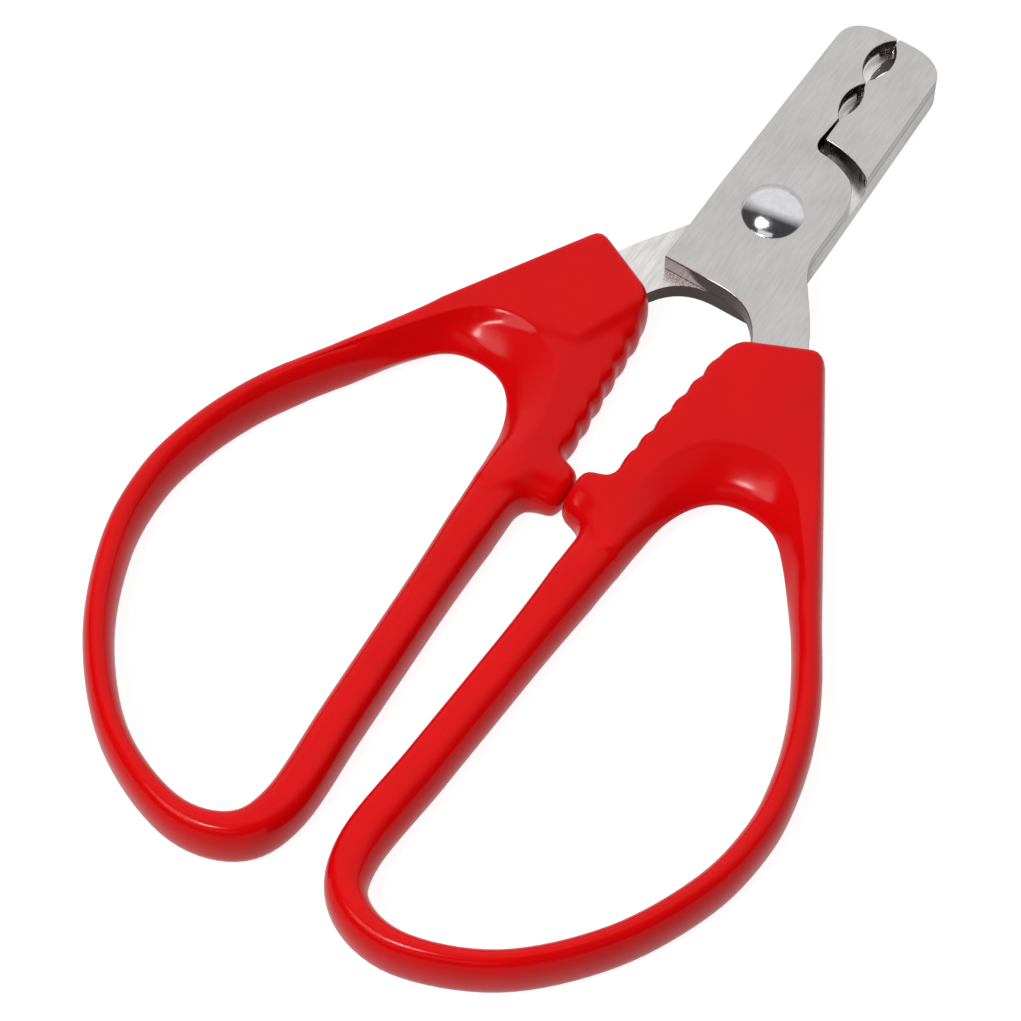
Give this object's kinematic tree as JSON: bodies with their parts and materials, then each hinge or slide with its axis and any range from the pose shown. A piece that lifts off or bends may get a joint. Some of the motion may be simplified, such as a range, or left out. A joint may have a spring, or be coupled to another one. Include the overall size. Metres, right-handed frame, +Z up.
{
  "type": "scissor nail clipper",
  "caption": "Scissor-action pet nail clipper with thick notched steel jaws, lapped at a domed rivet, and moulded plastic bow handles.",
  "frame": {"origin": "middle of the underside of the closed clipper's bounding box, on the surface it lies on", "axes": "+Y along the clipper from the bows to the jaw tips, +X to the right seen from above, +Z up out of the upper face, along the pivot"},
  "size_m": [0.0842, 0.1316, 0.0083],
  "materials": {
    "blade_steel": "satin, brushed along the blade",
    "rivet_steel": "polished",
    "red_plastic": "gloss"
  },
  "bodies": {
    "rear_half": {"rear_blade": "blade_steel", "left_handle": "red_plastic", "pivot_rivet": "rivet_steel", "rivet_burr": "rivet_steel"},
    "front_half": {"front_blade": "blade_steel", "right_handle": "red_plastic"}
  },
  "joints": [
    {"name": "pivot", "type": "hinge", "parent": "rear_half", "child": "front_half", "pos_m": [0, 0.03682, 0.004], "axis": [0, 0, 1], "range_deg": [0, 60]}
  ]
}
